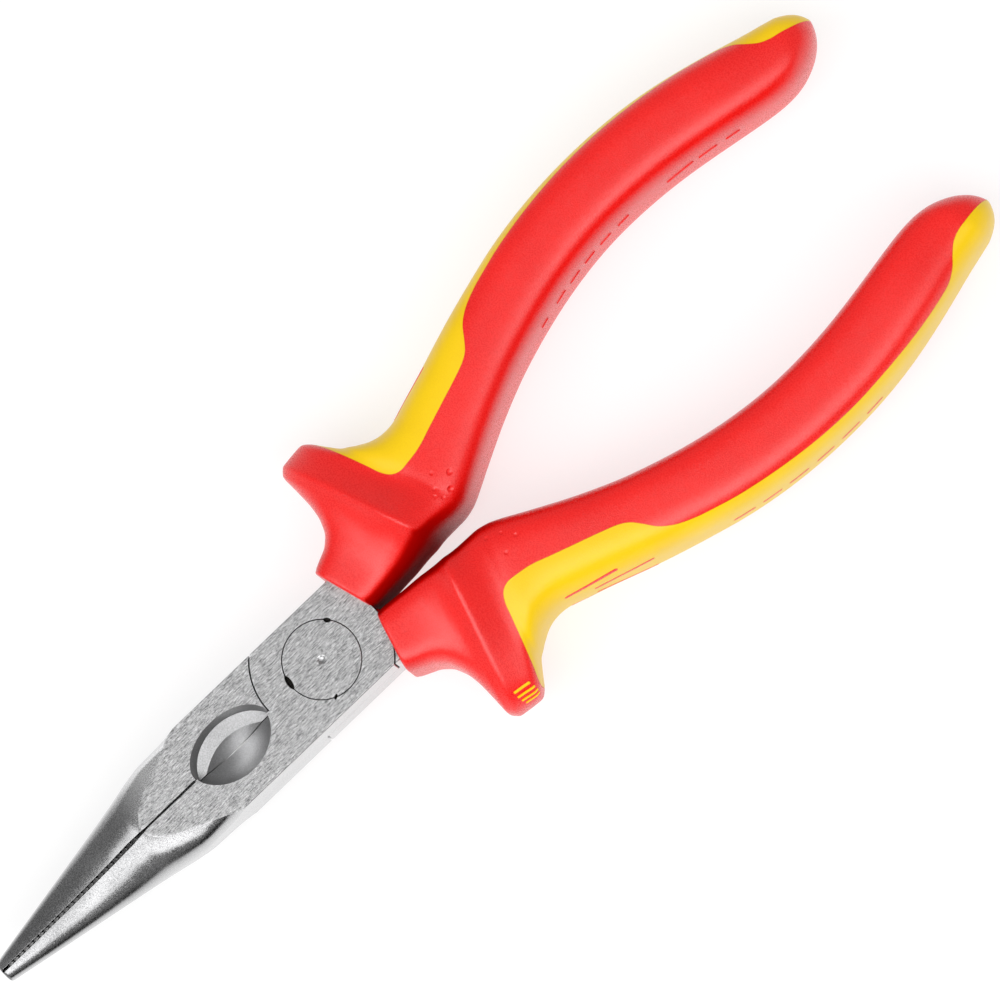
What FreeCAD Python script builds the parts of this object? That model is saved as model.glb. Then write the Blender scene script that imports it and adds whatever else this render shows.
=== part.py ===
import FreeCAD, Part
import math
import os

# Insulated long-nose pliers with a side cutter, 160 mm class.
# Frame: millimetres, +Y towards the jaw tips, +Z out of the front joint face.
# Everything is drawn about the mid plane of the joint and then lifted by half
# the joint thickness, so the origin is the pivot axis on the back joint face.
# The front half carries the left jaw and the right handle, and it turns on the
# rivet.  The rear half carries the right jaw and the left handle.

doc = FreeCAD.newDocument("long_nose_pliers")

# ---------------------------------------------------------------- dimensions
sheet = doc.addObject("Spreadsheet::Sheet", "Dimensions")
DIMS = [
    ("tip_reach", 57.55), ("head_width", 14.0), ("joint_thickness", 9.0),
    ("plate_radius", 9.35), ("shoulder_radius", 9.55), ("lap_gap", 0.05),
    ("box_end", 18.0), ("tang_cut", 3.0), ("head_back", 16.0),
    ("jaw_gap_root", 0.17), ("jaw_gap_tip", 0.03), ("teeth_start", 33.0), ("tooth_pitch", 0.9),
    ("tooth_depth", 0.15), ("cutter_gap", 0.06),
    ("recess_centre", 15.95), ("recess_half_length", 6.4), ("recess_half_width", 4.1),
    ("rivet_head_radius", 5.15), ("rivet_head_depth", 3.0), ("rivet_ring_gap", 0.07),
    ("rivet_shank_radius", 3.5), ("shank_clearance", 0.05), ("peen_radius", 4.2),
    ("peen_depth", 2.0), ("dimple_radius", 0.6), ("dimple_depth", 0.35),
    ("tang_thickness", 6.4), ("collar_relief_radius", 9.65), ("collar_relief_height", 4.75),
    ("skin", 1.7), ("bar_depth", 0.8),
]
for row, (name, value) in enumerate(DIMS, start=1):
    sheet.set("A%d" % row, name)
    sheet.set("B%d" % row, repr(value))
    sheet.setAlias("B%d" % row, name)
doc.recompute()


def dim(name):
    return float(getattr(sheet, name))


HALF = dim("joint_thickness") / 2.0
V = FreeCAD.Vector
BIG = 30.0


# -------------------------------------------------------------- small helpers
def expr(obj, pairs):
    for prop, text in pairs:
        obj.setExpression(prop, text)


def box(name, x0, y0, z0, lx, ly, lz):
    b = doc.addObject("Part::Box", name)
    b.Length, b.Width, b.Height = lx, ly, lz
    b.Placement = FreeCAD.Placement(V(x0, y0, z0), FreeCAD.Rotation())
    return b


def cyl(name, radius, z0, height):
    c = doc.addObject("Part::Cylinder", name)
    c.Radius, c.Height = radius, height
    c.Placement = FreeCAD.Placement(V(0, 0, z0), FreeCAD.Rotation())
    return c


def feature(name, shape):
    f = doc.addObject("Part::Feature", name)
    f.Shape = shape
    return f


def boolean(kind, name, base, tool):
    b = doc.addObject("Part::" + kind, name)
    b.Base, b.Tool = base, tool
    return b


def fuse_all(name, parts):
    m = doc.addObject("Part::MultiFuse", name)
    m.Shapes = parts
    return m


def prism(name, points, z0, z1):
    """Closed outline in the XY plane, pulled from z0 to z1."""
    wire = Part.makePolygon([V(x, y, z0) for x, y in points] + [V(points[0][0], points[0][1], z0)])
    return feature(name, Part.Face(wire).extrude(V(0, 0, z1 - z0)))


HALF_TURN = FreeCAD.Placement(V(0, 0, 0), FreeCAD.Rotation(V(0, 1, 0), 180))


def turned(shape):
    """The other half: the same shape after half a turn about the long axis."""
    s = shape.copy()
    s.transformShape(HALF_TURN.toMatrix())
    return s


# ------------------------------------------------------- steel blank, both jaws
# The head is a flat bar; the nose is an oval taper ground flat on both faces.
head_bar = box("head_bar", -7, -16, -4.5, 14, 34, 9)
expr(head_bar, [("Length", "Dimensions.head_width"), ("Height", "Dimensions.joint_thickness"),
                ("Width", "Dimensions.box_end + Dimensions.head_back"),
                ("Placement.Base.x", "-Dimensions.head_width / 2"),
                ("Placement.Base.y", "-Dimensions.head_back"),
                ("Placement.Base.z", "-Dimensions.joint_thickness / 2")])
nose_bar = box("nose_bar", -7, 17.9, -4.5, 14, 40, 9)
expr(nose_bar, [("Length", "Dimensions.head_width"), ("Height", "Dimensions.joint_thickness"),
                ("Width", "Dimensions.tip_reach - Dimensions.box_end + 0.1"),
                ("Placement.Base.x", "-Dimensions.head_width / 2"),
                ("Placement.Base.y", "Dimensions.box_end - 0.1"),
                ("Placement.Base.z", "-Dimensions.joint_thickness / 2")])

# half width and half thickness of the oval at each distance from the pivot
NOSE = [(16.5, 9.0, 9.1), (20.05, 8.37, 7.64), (23.05, 7.82, 6.65), (26.25, 7.24, 5.68),
        (28.55, 6.82, 5.06), (30.95, 6.39, 4.50), (34.05, 5.82, 3.85), (37.55, 5.19, 3.20),
        (43.55, 4.10, 2.40), (49.55, 3.01, 1.85), (53.55, 2.28, 1.58), (57.60, 1.53, 1.35)]


def ellipse_wire(y, a, b):
    if a >= b:
        e = Part.Ellipse(V(0, 0, 0), a, b)
        rot = FreeCAD.Rotation(V(1, 0, 0), 90)
    else:
        e = Part.Ellipse(V(0, 0, 0), b, a)
        rot = FreeCAD.Rotation(V(1, 0, 0), 90).multiply(FreeCAD.Rotation(V(0, 0, 1), 90))
    w = Part.Wire([e.toShape()])
    w.Placement = FreeCAD.Placement(V(0, y, 0), rot)
    return w


def oval_rows():
    rows = []
    for y, a, b in NOSE:
        rows.append([(a * math.cos(2 * math.pi * k / 32), y, b * math.sin(2 * math.pi * k / 32))
                     for k in range(32)])
    return rows


def tube_solid(rows):
    """Smooth closed skin over rings of control points, with flat end caps."""
    n, m = len(rows), len(rows[0])
    # v runs along the piece, clamped; u runs round it, periodic
    poles = [[V(*rows[j][i]) for j in range(n)] for i in range(m)]
    uknots = list(range(m + 1))
    umults = [1] * (m + 1)
    vknots = list(range(n - 2))
    vmults = [4] + [1] * (n - 4) + [4]
    s = Part.BSplineSurface()
    s.buildFromPolesMultsKnots(poles, umults, vmults, uknots, vknots, True, False, 3, 3)
    face = s.toShape()
    caps = []
    for edge in face.Edges:
        if edge.isClosed() and edge.BoundBox.YLength < 20:
            caps.append(Part.Face(Part.Wire([edge])))
    shell = Part.Shell([face] + caps)
    shell.sewShape()
    solid = Part.Solid(shell)
    if not solid.isValid() or solid.Volume <= 0:
        raise RuntimeError("skin did not close")
    return solid


nose_oval = feature("nose_oval", tube_solid(oval_rows()))
nose = boolean("Common", "nose", nose_bar, nose_oval)
blank = boolean("Fuse", "blank", head_bar, nose)


# ------------------------------------------------------------- jaw half outline
def jaw_outline():
    """Left jaw in plan: everything left of the parting line, with fine teeth."""
    root, tip, reach = dim("jaw_gap_root"), dim("jaw_gap_tip"), dim("tip_reach")
    y0 = dim("recess_centre") + dim("recess_half_length") - 0.05
    pitch, depth = dim("tooth_pitch"), dim("tooth_depth")

    def edge(y):
        k = (y - y0) / (reach - y0)
        return -(root + (tip - root) * k)

    pts = [(-BIG, 0.0), (-dim("cutter_gap"), 0.0), (-dim("cutter_gap"), y0), (edge(y0), y0 + 0.25)]
    y = dim("teeth_start")
    while y + pitch < reach - 0.6:
        pts.append((edge(y), y))
        pts.append((edge(y) - depth, y + pitch / 2))
        y += pitch
    pts.append((edge(y), y))
    pts.append((edge(reach), reach + 0.5))
    pts.append((-BIG, reach + 0.5))
    return pts


def end_line_outline():
    """Right-hand tang block in plan, cut square behind the collar."""
    nx, ny, wx, wy = 0.306, -0.952, 0.952, 0.306
    d = 8.9 + dim("tang_cut")
    a = (nx * d - wx * 12, ny * d - wy * 12)
    b = (nx * d + wx * 12, ny * d + wy * 12)
    # keep the part of x >= 0.2 on the joint side of the line; inside the
    # collar the inner side steps back behind the collar's wall
    t = (1.5 - a[0]) / (b[0] - a[0])
    c = (1.5, a[1] + (b[1] - a[1]) * t)
    return [(0.2, 0.0), (0.2, -8.7), (1.5, -9.6), c, b, (BIG, 0.0)]


def half_mask(name, lap):
    """Region of the blank that belongs to the front half."""
    jaw = prism(name + "_jaw_plan", jaw_outline(), -8, 8)
    tang = prism(name + "_tang_plan", end_line_outline(), -8, 8)
    both = boolean("Fuse", name + "_plan", jaw, tang)
    room = cyl(name + "_room", dim("shoulder_radius"), -10, 10 + lap)
    expr(room, [("Radius", "Dimensions.shoulder_radius"), ("Height", "10 + Dimensions.lap_gap / 2")])
    stepped = boolean("Cut", name + "_stepped", both, room)
    plate = cyl(name + "_plate", dim("plate_radius"), lap, 8 - lap)
    expr(plate, [("Radius", "Dimensions.plate_radius"), ("Height", "8 - Dimensions.lap_gap / 2"),
                 ("Placement.Base.z", "Dimensions.lap_gap / 2")])
    return boolean("Fuse", name + "_mask", stepped, plate), room


mask, lap_room = half_mask("front", dim("lap_gap") / 2)
front_head = boolean("Common", "front_head", blank, mask)

# ---------------------------------------------------------------------- tangs
TANG_IN = [(1.6, -9.2), (2.6, -13), (3.4, -17), (3.9, -21), (4.6, -25), (5.9, -29), (8.2, -33.2),
           (10.5, -38), (12.6, -44), (14.3, -50), (15.7, -56), (16.8, -62), (17.2, -68),
           (17.1, -74), (16.5, -80), (15.6, -86), (15.3, -89)]
TANG_OUT = [(6.4, -7.6), (7.3, -11), (8.0, -15), (8.6, -19), (9.2, -22.5), (10.4, -26), (12.4, -30.5),
            (14.6, -36), (16.8, -42.5), (18.5, -49), (20.0, -56), (21.1, -62), (21.6, -68),
            (21.5, -74), (20.9, -80), (20.0, -86), (19.5, -89)]


def tang_body(name):
    body = doc.addObject("PartDesign::Body", name)
    xy = [f for f in body.Origin.OriginFeatures if f.Role == "XY_Plane"][0]
    sk = body.newObject("Sketcher::SketchObject", name + "_sketch")
    sk.AttachmentSupport = [(xy, "")]
    sk.MapMode = "FlatFace"
    a = Part.BSplineCurve()
    a.interpolate([V(x, y, 0) for x, y in TANG_IN])
    b = Part.BSplineCurve()
    b.interpolate([V(x, y, 0) for x, y in TANG_OUT])
    sk.addGeometry(a, False)
    sk.addGeometry(Part.LineSegment(V(TANG_IN[-1][0], TANG_IN[-1][1], 0), V(TANG_OUT[-1][0], TANG_OUT[-1][1], 0)), False)
    sk.addGeometry(b, False)
    sk.addGeometry(Part.LineSegment(V(TANG_OUT[0][0], TANG_OUT[0][1], 0), V(TANG_IN[0][0], TANG_IN[0][1], 0)), False)
    doc.recompute()
    pad = body.newObject("PartDesign::Pad", name + "_pad")
    pad.Profile = sk
    pad.Length = 6.4
    pad.Midplane = True
    pad.setExpression("Length", "Dimensions.tang_thickness")
    doc.recompute()
    return body


tang = tang_body("tang")
tang_clear = boolean("Cut", "tang_clear", tang, lap_room)
front_forging = boolean("Fuse", "front_forging", front_head, tang_clear)


# ------------------------------------------------------------- cutter recesses
def recess_cutter(profile, side):
    """Oval hollow beside the cutting edge, one half, on the front face."""
    yc, hl, hw = dim("recess_centre"), dim("recess_half_length"), dim("recess_half_width")
    wires = []
    stations = [-0.985, -0.93, -0.84, -0.72, -0.56, -0.38, -0.19, 0.0, 0.19, 0.38, 0.56, 0.72, 0.84, 0.93, 0.985]
    for k in stations:
        y = yc + hl * k
        w = math.sqrt(1 - k * k)
        pts = [V(side * px * w * hw, y, pz) for px, pz in profile]
        pts.append(V(side * hw * w, y, 6.0))
        pts.append(V(-side * 0.4, y, 6.0))
        pts.append(V(-side * 0.4, y, 0.0))
        wires.append(Part.makePolygon(pts + [pts[0]]))
    return Part.makeLoft(wires, True, True)


# left jaw: one smooth hollow bevel.  right jaw: rim wall, shallow bevel, steep bevel.
LEFT_PROFILE = [(0.0, 0.06), (0.36, 1.05), (0.70, 2.45), (0.93, 3.8), (1.0, 4.52)]
RIGHT_PROFILE = [(0.0, 0.06), (0.40, 2.4), (0.83, 3.0), (0.92, 3.75), (1.0, 4.52)]
left_cut = recess_cutter(LEFT_PROFILE, -1)
left_cut_back = left_cut.mirror(V(0, 0, 0), V(0, 0, 1))
right_cut = recess_cutter(RIGHT_PROFILE, 1)
right_cut_back = right_cut.mirror(V(0, 0, 0), V(0, 0, 1))
left_recess = feature("left_recess", Part.makeCompound([left_cut, left_cut_back]))
right_recess = feature("right_recess", Part.makeCompound([right_cut, right_cut_back]))

# ------------------------------------------------------------- front jaw half
front_cut = boolean("Cut", "front_cut", front_forging, left_recess)
head_bore = cyl("head_bore", 5.22, 1.45, 10)
expr(head_bore, [("Radius", "Dimensions.rivet_head_radius + Dimensions.rivet_ring_gap"),
                 ("Placement.Base.z", "Dimensions.joint_thickness / 2 - Dimensions.rivet_head_depth - 0.05")])
shank_bore = cyl("shank_bore", 3.55, -8, 16)
expr(shank_bore, [("Radius", "Dimensions.rivet_shank_radius + Dimensions.shank_clearance")])
front_bores = boolean("Fuse", "front_bores", head_bore, shank_bore)
front_jaw_half = boolean("Cut", "front_jaw_half", front_cut, front_bores)

# -------------------------------------------------------------- rear jaw half
doc.recompute()
rear_forging = feature("rear_forging", turned(front_forging.Shape))
rear_cut = boolean("Cut", "rear_cut", rear_forging, right_recess)


def rivet_profile():
    """Half section of the rivet: head flush in front, peened end flush behind."""
    hr, hd = dim("rivet_head_radius"), dim("rivet_head_depth")
    sr, pr, pd = dim("rivet_shank_radius"), dim("peen_radius"), dim("peen_depth")
    dr, dd = dim("dimple_radius"), dim("dimple_depth")
    c = 0.12
    return [(0, -HALF), (pr, -HALF), (sr, -HALF + pd), (sr, HALF - hd), (hr, HALF - hd),
            (hr, HALF - c), (hr - c, HALF), (dr, HALF), (0, HALF - dd)]


rivet_body = doc.addObject("PartDesign::Body", "joint_rivet")
xz = [f for f in rivet_body.Origin.OriginFeatures if f.Role == "XZ_Plane"][0]
rsk = rivet_body.newObject("Sketcher::SketchObject", "rivet_sketch")
rsk.AttachmentSupport = [(xz, "")]
rsk.MapMode = "FlatFace"
prof = rivet_profile()
for i in range(len(prof)):
    p, q = prof[i], prof[(i + 1) % len(prof)]
    rsk.addGeometry(Part.LineSegment(V(p[0], p[1], 0), V(q[0], q[1], 0)), False)
doc.recompute()
rev = rivet_body.newObject("PartDesign::Revolution", "rivet_turning")
rev.Profile = rsk
rev.ReferenceAxis = (rsk, ["V_Axis"])
rev.Angle = 360
doc.recompute()

peen_cone = doc.addObject("Part::Cone", "peen_cone")
expr(peen_cone, [("Radius1", "Dimensions.peen_radius"), ("Radius2", "Dimensions.rivet_shank_radius"),
                 ("Height", "Dimensions.peen_depth"),
                 ("Placement.Base.z", "-Dimensions.joint_thickness / 2")])
rear_shank = cyl("rear_shank", 3.5, -8, 12)
expr(rear_shank, [("Radius", "Dimensions.rivet_shank_radius")])
rear_bores = boolean("Fuse", "rear_bores", peen_cone, rear_shank)
rear_jaw_half = boolean("Cut", "rear_jaw_half", rear_cut, rear_bores)
doc.recompute()

# --------------------------------------------------------------------- grips
# Each row is one cross-section of the right grip, from the collar to the end:
# inner edge x, y; outer edge x, y; half height at the inner and outer edge;
# and how square the section is at the inner and outer edge.
STATIONS = [
    (0.38, -9.29, 8.9, -6.87, 6.9, 6.9, 5, 5),
    (0.43, -10.13, 9.21, -7.5, 6.91, 6.92, 5, 5),
    (0.49, -11.07, 9.55, -8.2, 6.92, 6.94, 5, 5),
    (0.58, -12.23, 9.98, -9.12, 6.94, 6.97, 4.99, 4.98),
    (0.66, -13.33, 10.32, -9.95, 7.02, 7, 4.95, 4.9),
    (0.74, -14.33, 11.04, -10.7, 7.21, 7, 4.86, 4.72),
    (0.8, -15.17, 11.66, -11.34, 7.53, 7, 4.74, 4.48),
    (0.84, -15.9, 12.72, -11.76, 7.86, 6.84, 4.63, 4.26),
    (0.92, -16.57, 13.72, -12.15, 8.29, 6.7, 4.53, 4.06),
    (1, -17.08, 14.88, -12.31, 8.68, 6.48, 4.45, 3.9),
    (1.07, -17.54, 15.96, -12.45, 9.02, 6.27, 4.37, 3.75),
    (1.14, -18, 17.42, -12.45, 9.45, 5.97, 4.3, 3.61),
    (1.2, -18.45, 18.9, -12.45, 9.9, 5.68, 4.25, 3.5),
    (1.25, -18.81, 20.19, -12.4, 10.28, 5.47, 4.21, 3.43),
    (1.29, -19.12, 21.26, -12.37, 10.64, 5.3, 4.2, 3.4),
    (1.34, -19.48, 21.59, -12.65, 11, 5.42, 4.2, 3.4),
    (1.4, -19.89, 21.95, -12.97, 11.55, 5.57, 4.2, 3.4),
    (1.45, -20.24, 22.24, -13.27, 12, 5.75, 4.2, 3.4),
    (1.51, -20.6, 22.32, -13.62, 12.14, 5.82, 4.2, 3.4),
    (1.58, -21.11, 22.39, -14.14, 11.85, 5.72, 4.2, 3.4),
    (1.63, -21.72, 22.48, -14.75, 11.42, 5.62, 4.2, 3.4),
    (1.64, -22.44, 22.57, -15.46, 10.92, 5.5, 4.2, 3.4),
    (1.64, -23.16, 22.63, -16.17, 10.45, 5.4, 4.33, 3.48),
    (1.64, -23.67, 22.67, -16.68, 10.12, 5.34, 4.43, 3.54),
    (1.63, -24.09, 22.58, -17.13, 9.86, 5.34, 4.49, 3.57),
    (1.63, -24.45, 22.15, -17.63, 9.66, 5.49, 4.53, 3.55),
    (1.63, -24.75, 21.7, -18.08, 9.48, 5.65, 4.55, 3.5),
    (1.62, -25.11, 20.68, -18.77, 9.25, 6, 4.55, 3.45),
    (1.62, -25.53, 19.65, -19.52, 9, 6.4, 4.54, 3.38),
    (1.67, -26.03, 18.45, -20.39, 8.75, 6.9, 4.52, 3.31),
    (1.79, -26.75, 18.15, -21.06, 8.3, 7.45, 4.51, 3.26),
    (1.97, -27.45, 17.61, -21.67, 8.25, 7.7, 4.54, 3.28),
    (2.31, -28.25, 17.19, -22.36, 8.2, 7.86, 4.64, 3.31),
    (2.83, -29.25, 16.59, -23.34, 8.13, 7.94, 4.71, 3.28),
    (3.47, -30.45, 16.16, -24.57, 8.05, 8, 4.75, 3.2),
    (4.29, -31.95, 15.98, -26.11, 8.03, 8, 4.65, 3.2),
    (5.17, -33.65, 16.23, -27.92, 8, 8, 4.62, 3.2),
    (6.11, -35.45, 16.96, -29.84, 8, 8, 4.62, 3.2),
    (7.12, -37.45, 17.7, -32.17, 8, 8, 4.62, 3.2),
    (8.05, -39.45, 18.49, -34.52, 8, 8, 4.61, 3.2),
    (9.06, -41.75, 19.42, -37.21, 8, 8, 4.54, 3.25),
    (10.14, -44.45, 20.45, -40.4, 8, 8, 4.43, 3.48),
    (11.12, -47.45, 21.48, -43.86, 8, 8, 4.37, 3.64),
    (12.05, -50.45, 22.45, -47.33, 8, 8, 4.35, 3.68),
    (12.95, -53.95, 23.54, -51.31, 8, 8, 4.35, 3.68),
    (13.68, -57.45, 24.37, -55.42, 8, 8, 4.35, 3.68),
    (14.29, -61.45, 25, -60.03, 8, 8, 4.35, 3.68),
    (14.6, -65.45, 25.35, -64.74, 8, 8, 4.35, 3.68),
    (14.6, -69.45, 25.4, -69.45, 8, 8, 4.35, 3.68),
    (14.4, -73.45, 25.2, -74.16, 8, 8, 4.35, 3.68),
    (13.97, -77.45, 24.7, -78.77, 8, 8, 4.35, 3.68),
    (13.35, -81.45, 23.86, -83.35, 8, 8, 4.3, 3.66),
    (12.62, -85.45, 22.79, -87.78, 7.94, 7.94, 4.09, 3.57),
    (11.94, -88.95, 21.78, -91.58, 7.71, 7.71, 3.79, 3.42),
    (11.49, -91.95, 20.9, -94.68, 7.49, 7.49, 3.59, 3.33),
    (11.45, -94.45, 20.33, -97.12, 7.28, 7.28, 3.52, 3.29),
    (11.78, -96.45, 19.89, -98.85, 7.1, 7.1, 3.26, 3.16),
    (12.29, -97.95, 19.85, -99.05, 6.75, 6.75, 2.99, 2.99),
    (12.86, -99.2, 19.31, -100.2, 6.2, 6.2, 2.75, 2.76),
    (13.61, -100.3, 18.76, -101, 5.4, 5.4, 2.57, 2.51),
    (14.46, -101.2, 18.06, -101.65, 4.3, 4.3, 2.52, 2.44),
    (15.36, -101.8, 17.26, -102.05, 3, 3, 2.47, 2.39),
    (15.96, -102.05, 16.76, -102.2, 2, 2, 2.4, 2.33),
]
RING = 40


def section(row, inset_in=0.0, inset_out=0.0, inset_z=0.0):
    xi, yi, xo, yo, hi, ho, ni, no = row
    dx, dy = xo - xi, yo - yi
    w = math.hypot(dx, dy)
    ux, uy = dx / w, dy / w
    xi, yi = xi + ux * inset_in, yi + uy * inset_in
    xo, yo = xo - ux * inset_out, yo - uy * inset_out
    cx, cy = (xi + xo) / 2, (yi + yo) / 2
    hw = math.hypot(xo - xi, yo - yi) / 2
    hi, ho = hi - inset_z, ho - inset_z
    ring = []
    for k in range(RING):
        a = 2 * math.pi * (k + 0.5) / RING
        c, s = math.cos(a), math.sin(a)
        n = no if c > 0 else ni
        r = (abs(c) ** n + abs(s) ** n) ** (-1.0 / n)
        f, g = c * r, s * r
        height = (hi + ho) / 2 + f * (ho - hi) / 2
        ring.append((cx + ux * hw * f, cy + uy * hw * f, height * g))
    return ring


grip_skin = tube_solid([section(r) for r in STATIONS])


def core_rows():
    """The first shot: inside the skin everywhere and with no finger guard."""
    rows = []
    skin = dim("skin")
    for i, r in enumerate(STATIONS):
        xi, yi, xo, yo, hi, ho, ni, no = r
        if i < 3 or i > 57 or (i % 2 and i > 4 and i < 54):
            continue
        # leave the guard out: never further out than a slim neck
        dx, dy = xo - xi, yo - yi
        w = math.hypot(dx, dy)
        width = min(w, 12.6 if yi > -27 else 12.8)
        xo, yo = xi + dx / w * width, yi + dy / w * width
        h = min((hi + ho) / 2, 8.0) if yi > -27 else min(hi, ho)
        if yi > -15.5:
            h = 6.9
        rows.append(section((xi, yi, xo, yo, h, h, ni, no), skin * 0.8 if yi > -20 else skin,
                            skin, skin))
    return rows


core_skin = tube_solid(core_rows())

# edge of the outer, lighter field in plan (right grip)
FIELD = [(24.0, -17.05), (21.6, -18.05), (19.5, -19.05), (16.5, -20.25), (13.5, -21.35), (11.6, -22.05),
         (10.5, -22.85), (10.0, -23.95), (10.1, -25.45), (10.5, -27.75), (11.5, -30.65), (12.6, -33.85),
         (13.7, -37.05), (14.6, -39.35), (15.4, -40.55), (16.6, -41.55), (18.2, -42.75), (19.5, -44.45),
         (20.6, -46.85), (21.5, -49.65), (22.4, -52.95), (23.2, -56.95), (23.8, -60.95), (24.2, -64.95),
         (24.35, -68.45), (24.3, -72.45), (24.0, -76.45), (23.55, -80.45), (22.9, -84.45), (22.0, -88.45),
         (21.2, -91.05), (20.2, -92.65), (19.0, -93.85), (18.0, -95.05), (17.4, -96.45), (17.1, -97.95),
         (16.8, -99.45), (16.3, -102.45), (16.0, -104.45)]
curve = Part.BSplineCurve()
curve.interpolate([V(32.0, -13.7, -14)] + [V(x, y, -14) for x, y in FIELD])
end_pt = V(FIELD[-1][0], FIELD[-1][1], -14)
field_wire = Part.Wire([curve.toShape(),
                        Part.LineSegment(end_pt, V(34, -104.45, -14)).toShape(),
                        Part.LineSegment(V(34, -104.45, -14), V(32.0, -13.7, -14)).toShape()])
field_prism = Part.Face(field_wire).extrude(V(0, 0, 28))

# short bars of the second colour, let into the outer back of each grip:
# distance along the grip (y), height above the mid plane, length, width, lean
BARS = [(-31.6, 4.6, 7.6, 0.6, 10.0), (-35.6, 2.4, 8.4, 0.6, 10.0),
        (-52.0, 0.0, 3.2, 0.7, 0.0), (-56.2, 0.0, 3.0, 0.7, 0.0), (-60.4, 0.0, 3.2, 0.7, 0.0),
        (-64.8, 0.0, 3.0, 0.7, 0.0), (-69.2, 0.0, 3.2, 0.7, 0.0), (-73.6, 0.0, 3.0, 0.7, 0.0)]


def bar_boxes(skin_solid):
    """Slots for the bars: square to the outer wall, a fixed depth into it."""
    depth = dim("bar_depth")
    out = []
    for side in (1, -1):
        for y, z, length, width, lean in BARS:
            if z == 0.0 and side < 0:
                continue
            p = outer_point(y, z * side)
            q1, q2 = outer_point(y + 0.5, z * side), outer_point(y - 0.5, z * side)
            along = V(q2[0] - q1[0], q2[1] - q1[1], 0)
            along.normalize()
            normal = V(-along.y, along.x, 0)
            if normal.x < 0:
                normal = normal * -1
            b = Part.makeBox(length, width, depth + 1.5, V(-length / 2, -width / 2, -depth))
            zdir = normal
            xdir = along
            ydir = zdir.cross(xdir)
            m = FreeCAD.Matrix(xdir.x, ydir.x, zdir.x, p[0],
                               xdir.y, ydir.y, zdir.y, p[1],
                               xdir.z, ydir.z, zdir.z, p[2], 0, 0, 0, 1)
            turn = FreeCAD.Matrix()
            turn.rotateZ(math.radians(lean) * side * (1 if ydir.z > 0 else -1) * -1)
            b.transformShape(turn)
            b.transformShape(m)
            out.append(b)
    return out


def outer_point(y, z):
    """Point of the outer wall at the given y and height."""
    best = None
    prev = None
    for row in STATIONS:
        xi, yi, xo, yo, hi, ho, ni, no = row
        cx, cy = (xi + xo) / 2, (yi + yo) / 2
        g = min(0.999, abs(z) / ho)
        f = (1 - g ** no) ** (1.0 / no)
        px, py = cx + (xo - cx) * f, cy + (yo - cy) * f
        if prev is not None and prev[1] >= y >= py:
            k = (prev[1] - y) / (prev[1] - py)
            best = (prev[0] + (px - prev[0]) * k, y, z)
        prev = (px, py)
    return best


bars_tool = Part.makeCompound(bar_boxes(grip_skin))


def build_grip(side, tag, forging, relief):
    """One handle: the core, the cover over it, and the bars in its back."""
    turn = (lambda s: s.copy()) if side > 0 else turned
    skin = feature(tag + "_grip_skin", turn(grip_skin))
    core_in = feature(tag + "_core_inner", turn(core_skin))
    field = feature(tag + "_field", turn(field_prism))
    slots = feature(tag + "_slots", turn(bars_tool))
    steel = boolean("Fuse", tag + "_steel_room", forging, relief)
    room = boolean("Cut", tag + "_grip_room", skin, steel)
    shown = boolean("Common", tag + "_shown_field", room, field)
    hidden = boolean("Cut", tag + "_core_hidden", core_in, steel)
    core_solid = boolean("Fuse", tag + "_core_solid", shown, hidden)
    core = boolean("Cut", tag + "_grip_core", core_solid, slots)
    cover_a = boolean("Cut", tag + "_cover_a", room, field)
    cover = boolean("Cut", tag + "_grip_cover", cover_a, core_in)
    bars = boolean("Common", tag + "_back_bars", shown, slots)
    return core, cover, bars


relief_right = cyl("relief_right", 9.65, -4.75, 4.775)
expr(relief_right, [("Radius", "Dimensions.collar_relief_radius"),
                    ("Height", "Dimensions.collar_relief_height + Dimensions.lap_gap / 2"),
                    ("Placement.Base.z", "-Dimensions.collar_relief_height")])
relief_left = cyl("relief_left", 9.65, -0.025, 4.775)
expr(relief_left, [("Radius", "Dimensions.collar_relief_radius"),
                   ("Height", "Dimensions.collar_relief_height + Dimensions.lap_gap / 2"),
                   ("Placement.Base.z", "-Dimensions.lap_gap / 2")])

right_core, right_cover, right_bars = build_grip(1, "right", front_forging, relief_right)
left_core, left_cover, left_bars = build_grip(-1, "left", rear_forging, relief_left)
doc.recompute()

NODES = [front_jaw_half, rear_jaw_half, rivet_body, right_core, right_cover, right_bars,
         left_core, left_cover, left_bars]
NAMES = ["front_jaw_half", "rear_jaw_half", "joint_rivet", "right_grip_core", "right_grip_cover",
         "right_back_bars", "left_grip_core", "left_grip_cover", "left_back_bars"]
for obj, name in zip(NODES, NAMES):
    obj.Label = name
    obj.Placement = FreeCAD.Placement(V(0, 0, HALF), FreeCAD.Rotation())
doc.recompute()

bad = [o.Label for o in doc.Objects if "Invalid" in o.State or "Error" in o.State]
if bad:
    raise RuntimeError("failed objects: " + ", ".join(bad))
for obj, name in zip(NODES, NAMES):
    s = obj.Shape
    if s.isNull() or not s.isValid() or s.Volume <= 0:
        raise RuntimeError("bad shape: " + name)

os.makedirs("parts", exist_ok=True)
for obj, name in zip(NODES, NAMES):
    obj.Shape.exportStep(os.path.join("parts", name + ".step"))
    b = obj.Shape.BoundBox
    print("%-18s %8.1f mm3  %d solid(s)  x %.2f..%.2f  y %.2f..%.2f  z %.2f..%.2f" % (
        name, obj.Shape.Volume, len(obj.Shape.Solids), b.XMin, b.XMax, b.YMin, b.YMax, b.ZMin, b.ZMax))
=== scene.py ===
import math

import bmesh
import bpy
import numpy as np
from mathutils import Matrix, Vector
from mathutils.bvhtree import BVHTree


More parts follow.
